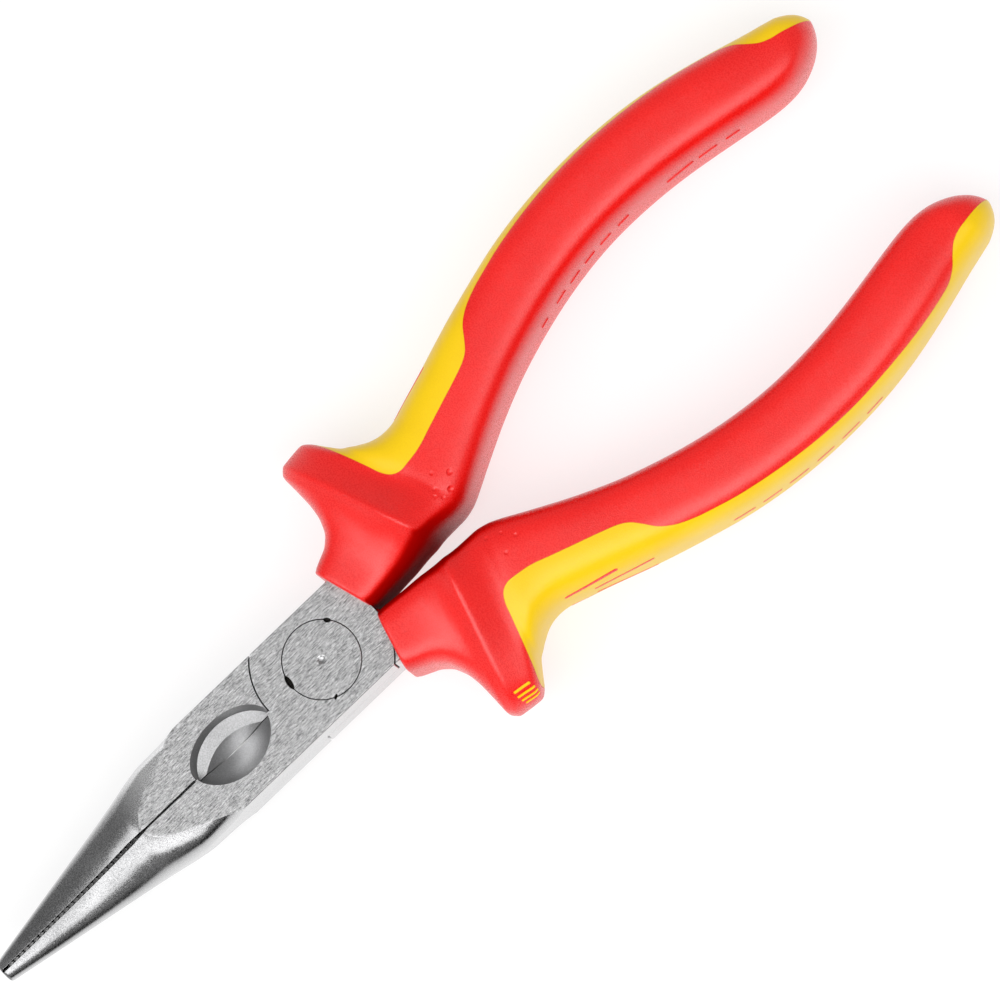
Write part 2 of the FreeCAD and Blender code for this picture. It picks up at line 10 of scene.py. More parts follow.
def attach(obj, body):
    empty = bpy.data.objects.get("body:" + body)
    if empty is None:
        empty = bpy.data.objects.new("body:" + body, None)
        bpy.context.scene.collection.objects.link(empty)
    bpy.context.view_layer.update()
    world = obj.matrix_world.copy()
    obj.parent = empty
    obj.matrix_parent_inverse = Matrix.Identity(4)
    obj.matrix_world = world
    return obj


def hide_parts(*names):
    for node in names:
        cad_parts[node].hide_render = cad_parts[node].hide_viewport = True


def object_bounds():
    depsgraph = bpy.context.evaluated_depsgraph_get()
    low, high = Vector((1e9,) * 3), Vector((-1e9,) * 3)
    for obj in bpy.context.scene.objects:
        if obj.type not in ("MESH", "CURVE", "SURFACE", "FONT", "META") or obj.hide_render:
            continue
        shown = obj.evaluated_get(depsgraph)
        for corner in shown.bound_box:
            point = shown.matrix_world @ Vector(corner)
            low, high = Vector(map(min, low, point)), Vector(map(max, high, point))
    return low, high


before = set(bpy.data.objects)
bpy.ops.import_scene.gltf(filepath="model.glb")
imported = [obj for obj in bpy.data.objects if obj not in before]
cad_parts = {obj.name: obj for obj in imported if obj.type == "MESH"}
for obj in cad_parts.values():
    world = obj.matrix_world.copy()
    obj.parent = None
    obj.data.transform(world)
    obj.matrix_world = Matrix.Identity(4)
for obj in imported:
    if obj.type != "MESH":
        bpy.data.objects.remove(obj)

CAD_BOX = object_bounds()

# Everything below is worked out in millimetres about the joint's mid plane and
# lifted by half the joint thickness, as the CAD is, then turned into metres.
MM = 0.001
ZM = 4.5
REAR, FRONT = "rear_half", "front_half"
scene = bpy.context.scene


# ------------------------------------------------------------------ mesh tools
def new_mesh(name, verts, faces):
    me = bpy.data.meshes.new(name)
    me.from_pydata([tuple(map(float, v)) for v in verts], [], [tuple(f) for f in faces])
    me.validate()
    me.update()
    ob = bpy.data.objects.new(name, me)
    scene.collection.objects.link(ob)
    return ob


def fix_normals(ob):
    bm = bmesh.new()
    bm.from_mesh(ob.data)
    bmesh.ops.recalc_face_normals(bm, faces=bm.faces)
    bm.to_mesh(ob.data)
    bm.free()
    ob.data.update()
    return ob


def ring_loft(name, rows, caps=True):
    """Closed skin over rings of equal length."""
    rows = [np.asarray(r, float) for r in rows]
    n, m = len(rows), len(rows[0])
    verts = np.concatenate(rows)
    faces = []
    for j in range(n - 1):
        a, b = j * m, (j + 1) * m
        for i in range(m):
            k = (i + 1) % m
            faces.append((a + i, a + k, b + k, b + i))
    if caps:
        faces.append(tuple(range(m))[::-1])
        faces.append(tuple((n - 1) * m + i for i in range(m)))
    return fix_normals(new_mesh(name, verts, faces))


def prism(name, pts, z0, z1):
    m = len(pts)
    verts = [(x, y, z0) for x, y in pts] + [(x, y, z1) for x, y in pts]
    faces = [(i, (i + 1) % m, m + (i + 1) % m, m + i) for i in range(m)]
    faces.append(tuple(range(m))[::-1])
    faces.append(tuple(range(m, 2 * m)))
    return fix_normals(new_mesh(name, verts, faces))


def lathe(name, prof, steps=192):
    """Turned piece from (radius, z) points, closed on the axis at both ends."""
    verts, faces = [], []
    mid = prof[1:-1]
    for r, z in mid:
        for k in range(steps):
            a = 2 * math.pi * k / steps
            verts.append((r * math.cos(a), r * math.sin(a), z))
    lo = len(verts)
    verts.append((0, 0, prof[0][1]))
    verts.append((0, 0, prof[-1][1]))
    for j in range(len(mid) - 1):
        for k in range(steps):
            q = (k + 1) % steps
            faces.append((j * steps + k, j * steps + q, (j + 1) * steps + q, (j + 1) * steps + k))
    for k in range(steps):
        q = (k + 1) % steps
        faces.append((lo, q, k))
        faces.append((lo + 1, (len(mid) - 1) * steps + k, (len(mid) - 1) * steps + q))
    return fix_normals(new_mesh(name, verts, faces))


def disc(name, radius, z0, z1, steps=256):
    pts = [(radius * math.cos(2 * math.pi * (k + 0.5) / steps), radius * math.sin(2 * math.pi * (k + 0.5) / steps))
           for k in range(steps)]
    return prism(name, pts, z0, z1)


def drop(*obs):
    for o in obs:
        me = o.data
        bpy.data.objects.remove(o)
        if me.users == 0:
            bpy.data.meshes.remove(me)


def boolean(ob, tool, op="DIFFERENCE", keep_tool=False):
    mod = ob.modifiers.new("cut", "BOOLEAN")
    mod.operation = op
    mod.solver = "EXACT"
    mod.object = tool
    bpy.context.view_layer.update()
    dg = bpy.context.evaluated_depsgraph_get()
    me = bpy.data.meshes.new_from_object(ob.evaluated_get(dg))
    ob.modifiers.clear()
    old = ob.data
    name = old.name
    ob.data = me
    bpy.data.meshes.remove(old)
    me.name = name
    if not keep_tool:
        drop(tool)
    return ob


def copy_of(ob, name):
    c = ob.copy()
    c.data = ob.data.copy()
    c.name = c.data.name = name
    scene.collection.objects.link(c)
    return c


def half_turn(ob):
    """The other half of the tool: half a turn about its long axis."""
    ob.data.transform(Matrix.Rotation(math.pi, 4, "Y"))
    ob.data.update()
    return ob


def tidy(ob, merge=0.002, flat=1e-5):
    """Joins doubled points and drops sliver faces left by a cut."""
    bm = bmesh.new()
    bm.from_mesh(ob.data)
    bmesh.ops.remove_doubles(bm, verts=bm.verts, dist=merge)
    bmesh.ops.dissolve_degenerate(bm, dist=1e-4, edges=bm.edges)
    loose = [v for v in bm.verts if not v.link_faces]
    bmesh.ops.delete(bm, geom=loose, context="VERTS")
    bmesh.ops.recalc_face_normals(bm, faces=bm.faces)
    bm.to_mesh(ob.data)
    bm.free()
    ob.data.update()
    return ob


def finish_piece(ob, body, nodes, angle=28.0, weigh=False):
    """Smooth within the angle, lift to the frame, metres, and onto its body."""
    me = ob.data
    if weigh:
        me.polygons.foreach_set("use_smooth", [True] * len(me.polygons))
        me.set_sharp_from_angle(angle=math.radians(angle))
        mod = ob.modifiers.new("weigh", "WEIGHTED_NORMAL")
        mod.keep_sharp = True
        mod.weight = 50
        bpy.context.view_layer.update()
        new = bpy.data.meshes.new_from_object(ob.evaluated_get(bpy.context.evaluated_depsgraph_get()))
        ob.modifiers.clear()
        ob.data, old = new, me
        label = old.name
        bpy.data.meshes.remove(old)
        new.name = label
        me = new
        me.transform(Matrix.Translation((0, 0, ZM)))
        me.transform(Matrix.Scale(MM, 4))
        me.update()
        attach(ob, body)
        if nodes:
            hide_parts(*nodes)
        return ob
    me.polygons.foreach_set("use_smooth", [True] * len(me.polygons))
    me.set_sharp_from_angle(angle=math.radians(angle))
    me.transform(Matrix.Translation((0, 0, ZM)))
    me.transform(Matrix.Scale(MM, 4))
    me.update()
    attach(ob, body)
    if nodes:
        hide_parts(*nodes)
    return ob


# ------------------------------------------------------------------- the steel
TIP, HEAD_W, HALF_T = 57.55, 7.0, 4.5
PLATE_R, SHOULDER_R, LAP = 9.35, 9.55, 0.025
REC_Y, REC_L, REC_W = 15.95, 6.4, 4.1
NOSE_Y = [18.0, 20.5, 22.5, 24.5, 26.4, 29.3, 31.8, 34.05, 37.55, 43.55, 49.55, 53.55, 57.60]
NOSE_A = [7.2, 7.12, 7.08, 7.06, 7.04, 6.70, 6.24, 5.82, 5.19, 4.10, 3.01, 2.28, 1.53]
NOSE_B = [9.4, 7.30, 5.46, 4.92, 4.68, 4.60, 4.48, 4.02, 3.25, 2.42, 1.86, 1.58, 1.35]
NOSE_N = [4.0, 4.0, 4.0, 4.0, 3.9, 3.2, 2.6, 2.3, 2.1, 2.0, 2.0, 2.0, 2.0]


def smooth_curve(xs, ys, x):
    """Monotone cubic through the points."""
    xs, ys = np.asarray(xs, float), np.asarray(ys, float)
    d = np.diff(ys) / np.diff(xs)
    m = np.empty(len(xs))
    m[0], m[-1] = d[0], d[-1]
    for i in range(1, len(xs) - 1):
        m[i] = 0 if d[i - 1] * d[i] <= 0 else 2 * d[i - 1] * d[i] / (d[i - 1] + d[i])
    i = int(np.clip(np.searchsorted(xs, x) - 1, 0, len(xs) - 2))
    h = xs[i + 1] - xs[i]
    t = (x - xs[i]) / h
    return ((2 * t ** 3 - 3 * t ** 2 + 1) * ys[i] + (t ** 3 - 2 * t ** 2 + t) * h * m[i]
            + (-2 * t ** 3 + 3 * t ** 2) * ys[i + 1] + (t ** 3 - t ** 2) * h * m[i + 1])


CH = 0.16   # small broken edge between the ground faces and the flanks


def nose_ring(y, shrink=0.0):
    """Section of both jaws together: flat, rounded corner, flank, and the same below."""
    a, b, n = (smooth_curve(NOSE_Y, v, max(y, 18.0)) for v in (NOSE_A, NOSE_B, NOSE_N))
    a, b = a - shrink, b - shrink
    top, side = HALF_T - shrink, HEAD_W - shrink
    sharp = y < 20.4
    if not sharp:
        xf = a * (1 - (top / b) ** n) ** (1 / n) if b > top else 0.0
        zf = b * (1 - (side / a) ** n) ** (1 / n) if a > side else 0.0
        sharp = xf > side - 0.1
    if sharp:
        c = CH
        quad = [((side - c) * i / 5.0, top) for i in range(0, 6)]
        quad += [(side - c + c * math.sin(t), top - c + c * math.cos(t))
                 for t in np.linspace(0, math.pi / 2, 26)[1:]]
        quad += [(side, (top - c) * (1 - i / 5.0)) for i in range(1, 6)]
    else:
        # angle-like parameter of the rounded corner, from the flat to the flank
        c0, c1 = xf / a, (side / a if a > side else 1.0)
        p0 = math.acos(min(1.0, c0 ** (n / 2)))
        p1 = math.acos(min(1.0, c1 ** (n / 2)))
        quad = [(xf * i / 5.0, top if b > top else b) for i in range(0, 6)]
        for p in np.linspace(p0, p1, 26)[1:]:
            quad.append((a * max(0.0, math.cos(p)) ** (2 / n), b * max(0.0, math.sin(p)) ** (2 / n)))
        ex, ez = quad[-1]
        quad += [(ex, ez * (1 - i / 5.0)) for i in range(1, 6)]
    q = quad
    ring = [(x, z) for x, z in q]                          # +x, top to middle
    ring += [(x, -z) for x, z in q[::-1][1:]]              # +x, middle to bottom
    ring += [(-x, -z) for x, z in q[1:]]                   # -x, bottom to middle
    ring += [(-x, z) for x, z in q[::-1][1:-1]]            # -x, middle to top
    return [(x, y, z) for x, z in ring]


def edge_chamfer(y0, y1):
    """Cutter for the shallow chamfer along the left jaw's gripping edge, front face."""
    rows = []
    for y in np.arange(y0, y1 + 0.01, 0.5):
        b = smooth_curve(NOSE_Y, NOSE_B, min(y, 57.6))
        zt = min(HALF_T, b)
        p = parting(y)
        w = 0.17 * min(1.0, 0.05 + (y - y0) / 3.0)
        rows.append([(p - w - 0.3, y, zt + 0.10), (p + 0.4, y, zt + 0.10), (p + 0.4, y, zt - 1.6 * (w + 0.4) - 0.02),
                     (p - w, y, zt - 0.02)])
    return ring_loft("edge", rows)


def nose_blank():
    ys = [-16.0, 0.0, 8.0, 14.0, 17.0] + list(np.arange(18.0, 20.3, 0.5)) + list(np.arange(20.4, 33.0, 0.3)) + list(np.arange(33.3, TIP - 0.4, 0.5))
    rows = [nose_ring(y) for y in ys]
    for t in np.linspace(0, math.pi / 2, 6):
        r = 0.4
        rows.append(nose_ring(TIP - r + r * math.sin(t), shrink=r * (1 - math.cos(t))))
    return ring_loft("blank", rows)


def parting(y):
    y0 = REC_Y + REC_L - 0.05
    k = (y - y0) / (TIP - y0)
    return -(0.17 + (0.03 - 0.17) * k)


def jaw_plan():
    """Left jaw in plan, with rounded fine teeth along the gripping edge."""
    y0 = REC_Y + REC_L - 0.05
    pts = [(-30.0, 0.0), (-0.06, 0.0), (-0.06, y0), (parting(y0), y0 + 0.25)]
    y, pitch, depth = 33.0, 0.9, 0.15
    pts.append((parting(y) , y - 0.5))
    while y + pitch < TIP - 0.6:
        for f, d in ((0.0, 0.0), (0.12, 0.06), (0.38, 0.94), (0.5, 1.0), (0.62, 0.94), (0.88, 0.06)):
            pts.append((parting(y) - depth * d, y + pitch * f))
        y += pitch
    pts += [(parting(y), y), (parting(TIP), TIP + 0.5), (-30.0, TIP + 0.5)]
    return pts


def half_blank(name):
    """One half of the head, as the front half: lap plate, left jaw, right shank."""
    mask = prism("m1", jaw_plan(), -8, 8)
    tang = prism("m2", [(0.2, 0.0), (0.2, -8.7), (1.5, -9.6), (1.5, -11.9), (6.9, -10.2), (9.0, -9.0), (9.0, 0.0)], -7.6, 7.6)
    room = disc("room", SHOULDER_R, -10, LAP)
    boolean(mask, room, keep_tool=True)
    boolean(tang, room)
    plate = disc("plate", PLATE_R, LAP, 7.3)
    boolean(mask, plate, "UNION")
    boolean(mask, tang, "UNION")
    ob = nose_blank()
    ob.name = ob.data.name = name
    boolean(ob, mask, "INTERSECT")
    return ob


def recess_z(x, y, w):
    """Height of the recess floor on the +X side: a steep rim, a shallow forged
    floor, and a steeper ground bevel down to the edge that fades out at the ends."""
    wall = 4.56 - (w - x) * 2.5
    floor = 1.88 + 0.33 * x
    bevel = 0.05 + 1.43 * x + 1.83 * ((y - 16.05) / 5.0) ** 2
    return min(max(wall, floor), bevel)


def recess(name, side):
    """Oval hollow beside one cutting edge, front face."""
    rows = []
    for k in np.sin(np.linspace(-1, 1, 61) * math.radians(83.0)):
        if side < 0:
            y = 16.0 + 6.15 * k
            w = max(0.10, 4.2 * (1 - k * k) ** 0.62)
            wp = 4.15 * math.sqrt(max(0.001, 1 - ((y - REC_Y) / REC_L) ** 2))
            h0 = min(4.3, recess_z(0.0, y, wp))
            pts = []
            for t in np.linspace(0, 1, 19):
                pts.append((-t * w, y, h0 + (4.53 - h0) * (0.60 * t + 0.40 * t ** 3.4)))
        else:
            y = REC_Y + REC_L * k
            w = max(0.10, 4.15 * math.sqrt(max(0.0, 1 - k * k)))
            g = 1.83 * ((y - 16.05) / 5.0) ** 2
            xb = max(0.0, (1.83 - g) / 1.10)
            xw = max(0.0, (4.56 - 2.5 * w - 1.88) / (0.33 - 2.5))
            xw = min(xw, w - 0.02)
            xb = min(xb, xw)
            grid = list(np.linspace(0, xb, 7)) + list(np.linspace(xb, xw, 9)[1:]) + list(np.linspace(xw, w, 7)[1:])
            pts = [(x, y, min(4.56, recess_z(x, y, w))) for x in grid]
        pts.append((side * w, y, 6.2))
        pts.append((-side * 0.35, y, 6.2))
        pts.append((-side * 0.35, y, pts[0][2]))
        rows.append(pts)
    return ring_loft(name, rows)


def mirror_z(ob):
    ob.data.transform(Matrix.Scale(-1, 4, (0, 0, 1)))
    return fix_normals(ob)


front = half_blank("front_jaw_half_steel")
chamfer = edge_chamfer(31.0, TIP + 0.5)
boolean(front, mirror_z(copy_of(chamfer, "edge2")))
boolean(front, chamfer)
rear = half_turn(copy_of(front, "rear_jaw_half_steel"))
cut = recess("cl", -1)
boolean(front, mirror_z(copy_of(cut, "clb")))
boolean(front, cut)
cut = recess("cr", 1)
boolean(rear, mirror_z(copy_of(cut, "crb")))
boolean(rear, cut)

# rivet seats: counterbore in front with a broken edge, plain hole, peened cone behind
seat = lathe("seat", [(0, 1.45), (5.22, 1.45), (5.22, 4.45), (5.26, 4.50), (5.26, 6.0), (0, 6.0)])
boolean(front, seat)
boolean(front, disc("hole", 3.55, -3, 3))
boolean(rear, lathe("seat2", [(0, -6.0), (4.20, -6.0), (4.20, -4.5), (3.5, -2.5), (3.5, 2.0), (0, 2.0)]))
for ob in (front, rear):
    tidy(ob)

rivet = lathe("joint_rivet_steel", [
    (0, -4.5), (2.0, -4.5), (3.9, -4.5), (4.12, -4.46), (4.19, -4.36), (3.5, -2.5), (3.5, 1.5), (5.15, 1.5),
    (5.15, 4.43), (5.13, 4.47), (5.09, 4.5), (4.6, 4.5), (0.66, 4.5), (0.58, 4.485), (0.48, 4.43), (0.36, 4.36),
    (0.2, 4.30), (0, 4.28)])


def leaf(name, cx, cy, ang, lx, ly, z0, z1):
    """Small pointed oval cutter."""
    half = [(lx / 2 * math.cos(t), ly / 2 * math.sin(t) * abs(math.sin(t)) ** 0.4) for t in np.linspace(0, 2 * math.pi, 25)[:-1]]
    ob = prism(name, half, z0, z1)
    ob.data.transform(Matrix.Translation((cx, cy, 0)) @ Matrix.Rotation(math.radians(ang), 4, "Z"))
    return ob


# staking nicks where the rim of the head was closed
for cx, cy, ang, lx, ly in ((0.75, 5.04, -8.0, 2.2, 0.78), (3.22, -3.98, 40.0, 1.05, 0.66), (-4.75, 1.95, -60.0, 0.8, 0.4)):
    boolean(rivet, leaf("nick", cx, cy, ang, lx, ly, 3.2, 5.0))
    boolean(front, leaf("nick", cx, cy, ang, lx, ly, 3.2, 5.0))
tidy(rivet)
tidy(front)

# ------------------------------------------------------------------- the grips
# inner edge x, y; outer edge x, y; half height inside and outside; squareness
STATIONS = [
    (0.38, -9.29, 8.9, -6.87, 6.9, 6.9, 5, 5),
    (0.43, -10.13, 9.21, -7.5, 6.91, 6.92, 5, 5),
    (0.49, -11.07, 9.55, -8.2, 6.92, 6.94, 5, 5),
    (0.58, -12.23, 9.98, -9.12, 6.94, 6.97, 4.99, 4.98),
    (0.66, -13.33, 10.32, -9.95, 7.02, 7, 4.95, 4.9),
    (0.74, -14.33, 11.04, -10.7, 7.21, 7, 4.86, 4.72),
    (0.8, -15.17, 11.66, -11.34, 7.53, 7, 4.74, 4.48),
    (0.84, -15.9, 12.72, -11.76, 7.86, 6.84, 4.63, 4.26),
    (0.92, -16.57, 13.72, -12.15, 8.29, 6.7, 4.53, 4.06),
    (1, -17.08, 14.88, -12.31, 8.68, 6.48, 4.45, 3.9),
    (1.07, -17.54, 15.96, -12.45, 9.02, 6.27, 4.37, 3.75),
    (1.14, -18, 17.42, -12.45, 9.45, 5.97, 4.3, 3.61),
    (1.2, -18.45, 18.9, -12.45, 9.9, 5.68, 4.25, 3.5),
    (1.25, -18.81, 20.19, -12.4, 10.28, 5.47, 4.21, 3.43),
    (1.29, -19.12, 21.26, -12.37, 10.64, 5.3, 4.2, 3.4),
    (1.34, -19.48, 21.59, -12.65, 11, 5.42, 4.2, 3.4),
    (1.4, -19.89, 21.95, -12.97, 11.55, 5.57, 4.2, 3.4),
    (1.45, -20.24, 22.24, -13.27, 12, 5.75, 4.2, 3.4),
    (1.51, -20.6, 22.32, -13.62, 12.14, 5.82, 4.2, 3.4),
    (1.58, -21.11, 22.39, -14.14, 11.85, 5.72, 4.2, 3.4),
    (1.63, -21.72, 22.48, -14.75, 11.42, 5.62, 4.2, 3.4),
    (1.64, -22.44, 22.57, -15.46, 10.92, 5.5, 4.2, 3.4),
    (1.64, -23.16, 22.63, -16.17, 10.45, 5.4, 4.33, 3.48),
    (1.64, -23.67, 22.67, -16.68, 10.12, 5.34, 4.43, 3.54),
    (1.63, -24.09, 22.58, -17.13, 9.86, 5.34, 4.49, 3.57),
    (1.63, -24.45, 22.15, -17.63, 9.66, 5.49, 4.53, 3.55),
    (1.63, -24.75, 21.7, -18.08, 9.48, 5.65, 4.55, 3.5),
    (1.62, -25.11, 20.68, -18.77, 9.25, 6, 4.55, 3.45),
    (1.62, -25.53, 19.65, -19.52, 9, 6.4, 4.54, 3.38),
    (1.67, -26.03, 18.45, -20.39, 8.75, 6.9, 4.52, 3.31),
    (1.79, -26.75, 18.15, -21.06, 8.3, 7.45, 4.51, 3.26),
    (1.97, -27.45, 17.61, -21.67, 8.25, 7.7, 4.54, 3.28),
    (2.31, -28.25, 17.19, -22.36, 8.2, 7.86, 4.64, 3.31),
    (2.83, -29.25, 16.59, -23.34, 8.13, 7.94, 4.71, 3.28),
    (3.47, -30.45, 16.16, -24.57, 8.05, 8, 4.75, 3.2),
    (4.29, -31.95, 15.98, -26.11, 8.03, 8, 4.65, 3.2),
    (5.17, -33.65, 16.23, -27.92, 8, 8, 4.62, 3.2),
    (6.11, -35.45, 16.96, -29.84, 8, 8, 4.62, 3.2),
    (7.12, -37.45, 17.7, -32.17, 8, 8, 4.62, 3.2),
    (8.05, -39.45, 18.49, -34.52, 8, 8, 4.61, 3.2),
    (9.06, -41.75, 19.42, -37.21, 8, 8, 4.54, 3.25),
    (10.14, -44.45, 20.45, -40.4, 8, 8, 4.43, 3.48),
    (11.12, -47.45, 21.48, -43.86, 8, 8, 4.37, 3.64),
    (12.05, -50.45, 22.45, -47.33, 8, 8, 4.35, 3.68),
    (12.95, -53.95, 23.54, -51.31, 8, 8, 4.35, 3.68),
    (13.68, -57.45, 24.37, -55.42, 8, 8, 4.35, 3.68),
    (14.29, -61.45, 25, -60.03, 8, 8, 4.35, 3.68),
    (14.6, -65.45, 25.35, -64.74, 8, 8, 4.35, 3.68),
    (14.6, -69.45, 25.4, -69.45, 8, 8, 4.35, 3.68),
    (14.4, -73.45, 25.2, -74.16, 8, 8, 4.35, 3.68),
    (13.97, -77.45, 24.7, -78.77, 8, 8, 4.35, 3.68),
    (13.35, -81.45, 23.86, -83.35, 8, 8, 4.3, 3.66),
    (12.62, -85.45, 22.79, -87.78, 7.94, 7.94, 4.09, 3.57),
    (11.94, -88.95, 21.78, -91.58, 7.71, 7.71, 3.79, 3.42),
    (11.49, -91.95, 20.9, -94.68, 7.49, 7.49, 3.59, 3.33),
    (11.45, -94.45, 20.33, -97.12, 7.28, 7.28, 3.52, 3.29),
    (11.78, -96.45, 19.89, -98.85, 7.1, 7.1, 3.26, 3.16),
    (12.29, -97.95, 19.85, -99.05, 6.75, 6.75, 2.99, 2.99),
    (12.86, -99.2, 19.31, -100.2, 6.2, 6.2, 2.75, 2.76),
    (13.61, -100.3, 18.76, -101, 5.4, 5.4, 2.57, 2.51),
    (14.46, -101.2, 18.06, -101.65, 4.3, 4.3, 2.52, 2.44),
    (15.36, -101.8, 17.26, -102.05, 3, 3, 2.47, 2.39),
    (15.96, -102.05, 16.76, -102.2, 2, 2, 2.4, 2.33),
]
RING = 40


def section(row):
    xi, yi, xo, yo, hi, ho, ni, no = row
    w = math.hypot(xo - xi, yo - yi)
    ux, uy = (xo - xi) / w, (yo - yi) / w
    cx, cy, hw = (xi + xo) / 2, (yi + yo) / 2, w / 2
    ring = []
    for k in range(RING):
        a = 2 * math.pi * (k + 0.5) / RING
        c, s = math.cos(a), math.sin(a)
        n = no if c > 0 else ni
        r = (abs(c) ** n + abs(s) ** n) ** (-1.0 / n)
        f, g = c * r, s * r
        ring.append((cx + ux * hw * f, cy + uy * hw * f, ((hi + ho) / 2 + f * (ho - hi) / 2) * g))
    return ring


POLES = np.array([section(r) for r in STATIONS])          # rows, ring, 3


def basis_clamped(n, t):
    """Cubic B-spline weights, clamped ends, unit knots."""
    knots = np.array([0.0] * 4 + list(range(1, n - 3)) + [float(n - 3)] * 4)
    t = min(max(t, 0.0), n - 3 - 1e-9)
    span = int(np.searchsorted(knots, t, side="right") - 1)
    b = np.zeros(4)
    b[0] = 1.0
    left, right = np.zeros(4), np.zeros(4)
    for j in range(1, 4):
        left[j] = t - knots[span + 1 - j]
        right[j] = knots[span + j] - t
        saved = 0.0
        for r in range(j):
            den = right[r + 1] + left[j - r]
            q = b[r] / den if den else 0.0
            b[r] = saved + right[r + 1] * q
            saved = left[j - r] * q
        b[j] = saved
    w = np.zeros(n)
    w[span - 3:span + 1] = b
    return w


def basis_round(n, t):
    w = np.zeros(n)
    i = int(math.floor(t))
    f = t - i
    for k, q in enumerate(((1 - f) ** 3 / 6, (3 * f ** 3 - 6 * f ** 2 + 4) / 6,
                           (-3 * f ** 3 + 3 * f ** 2 + 3 * f + 1) / 6, f ** 3 / 6)):
        w[(i - 1 + k) % n] += q
    return w


NU = 152
AROUND = np.array([basis_round(RING, RING * k / NU) for k in range(NU)])


def grip_rows():
    n = len(STATIONS)
    ts = np.linspace(0, n - 3, 2400)
    W = np.array([basis_clamped(n, t) for t in ts])
    rings = np.einsum("vr,rjc,uj->vuc", W, POLES, AROUND)
    step = np.linalg.norm(np.diff(rings, axis=0), axis=2)
    dist = np.concatenate([[0], np.cumsum(step.mean(axis=1))])
    fine = np.where(ts[:-1] < 32, 0.26, 0.42)
    frac = np.concatenate([[0], np.cumsum(np.diff(dist) / fine)])
    count = int(frac[-1]) + 1
    keep = np.interp(np.linspace(0, frac[-1], count), frac, ts)
    W = np.array([basis_clamped(n, t) for t in keep])
    return np.einsum("vr,rjc,uj->vuc", W, POLES, AROUND)


rings = grip_rows()
# round the front rim of the collar
NX, NY = 0.306, -0.952
rim = 0.45
first = rings[0]
front_c = first.mean(axis=0)
extra = []
for t in np.linspace(0, math.pi / 2, 6)[:-1]:
    back, inset = rim * (1 - math.sin(t)), rim * (1 - math.cos(math.pi / 2 - t))
    inset = rim * (1 - math.sin(t))
    back = rim * (1 - math.cos(t))
    d = first - front_c
    length = np.linalg.norm(d, axis=1, keepdims=True)
    p = first - d / length * inset
    p[:, 0] += NX * back
    p[:, 1] += NY * back
    extra.append(p)
u0 = (first @ np.array([NX, NY, 0.0])).mean()
keep = [r for r in rings if (r @ np.array([NX, NY, 0.0])).min() > u0 + rim * 1.05]
rows = extra + [first + np.array([NX, NY, 0.0]) * rim + (keep[0] - first) * 0.0] + keep
skin = ring_loft("grip_skin", rows)

FIELD = [(24.0, -17.05), (21.6, -18.05), (19.5, -19.05), (16.5, -20.25), (13.5, -21.35), (11.6, -22.05),
         (10.5, -22.85), (10.0, -23.95), (10.1, -25.45), (10.5, -27.75), (11.5, -30.65), (12.6, -33.85),
         (13.7, -37.05), (14.6, -39.35), (15.4, -40.55), (16.6, -41.55), (18.2, -42.75), (19.5, -44.45),
         (20.6, -46.85), (21.5, -49.65), (22.4, -52.95), (23.2, -56.95), (23.8, -60.95), (24.2, -64.95),
         (24.35, -68.45), (24.3, -72.45), (24.0, -76.45), (23.55, -80.45), (22.9, -84.45), (22.0, -88.45),
         (21.2, -91.05), (20.2, -92.65), (19.0, -93.85), (18.0, -95.05), (17.4, -96.45), (17.1, -97.95),
         (16.8, -99.45), (16.3, -102.45), (16.0, -104.45)]


def catmull(pts, per=8):
    pts = [np.array(p, float) for p in pts]
    pts = [2 * pts[0] - pts[1]] + pts + [2 * pts[-1] - pts[-2]]
    out = []
    for i in range(1, len(pts) - 2):
        p0, p1, p2, p3 = pts[i - 1], pts[i], pts[i + 1], pts[i + 2]
        t0 = 0.0
        t1 = t0 + math.sqrt(np.linalg.norm(p1 - p0))
        t2 = t1 + math.sqrt(np.linalg.norm(p2 - p1))
        t3 = t2 + math.sqrt(np.linalg.norm(p3 - p2))
        for k in range(per):
            t = t1 + (t2 - t1) * k / per
            a1 = (t1 - t) / (t1 - t0) * p0 + (t - t0) / (t1 - t0) * p1
            a2 = (t2 - t) / (t2 - t1) * p1 + (t - t1) / (t2 - t1) * p2
            a3 = (t3 - t) / (t3 - t2) * p2 + (t - t2) / (t3 - t2) * p3
            b1 = (t2 - t) / (t2 - t0) * a1 + (t - t0) / (t2 - t0) * a2
            b2 = (t3 - t) / (t3 - t1) * a2 + (t - t1) / (t3 - t1) * a3
            out.append((t2 - t) / (t2 - t1) * b1 + (t - t1) / (t2 - t1) * b2)
    out.append(pts[-2])
    return out


def field_plan(shift):
    """Outline of the yellow field in plan; shift moves its edge outwards."""
    line = catmull([(32.0, -13.7)] + FIELD)
    out = []
    for i, p in enumerate(line):
        a, b = line[max(0, i - 1)], line[min(len(line) - 1, i + 1)]
        d = b - a
        d = d / np.linalg.norm(d)
        nrm = np.array([d[1], -d[0]])
        if i < 10:
            nrm = nrm
        out.append(p + nrm * shift)
    return [tuple(p) for p in out] + [(34.0, -104.6), (34.0, -13.0)]




def top_point(x, y, side):
    """Skin point over (x, y) on the front (+1) or back (-1), and its normal."""
    grid = rings
    score = np.hypot(grid[:, :, 0] - x, grid[:, :, 1] - y) + np.where(grid[:, :, 2] * side > 0, 0, 99)
    v, u = np.unravel_index(np.argmin(score), score.shape)
    a = grid[v + 1, u] - grid[v - 1, u]
    b = grid[v, (u + 1) % NU] - grid[v, (u - 1) % NU]
    nrm = np.cross(a, b)
    nrm /= np.linalg.norm(nrm)
    if nrm[2] * side < 0:
        nrm = -nrm
    return grid[v, u], nrm


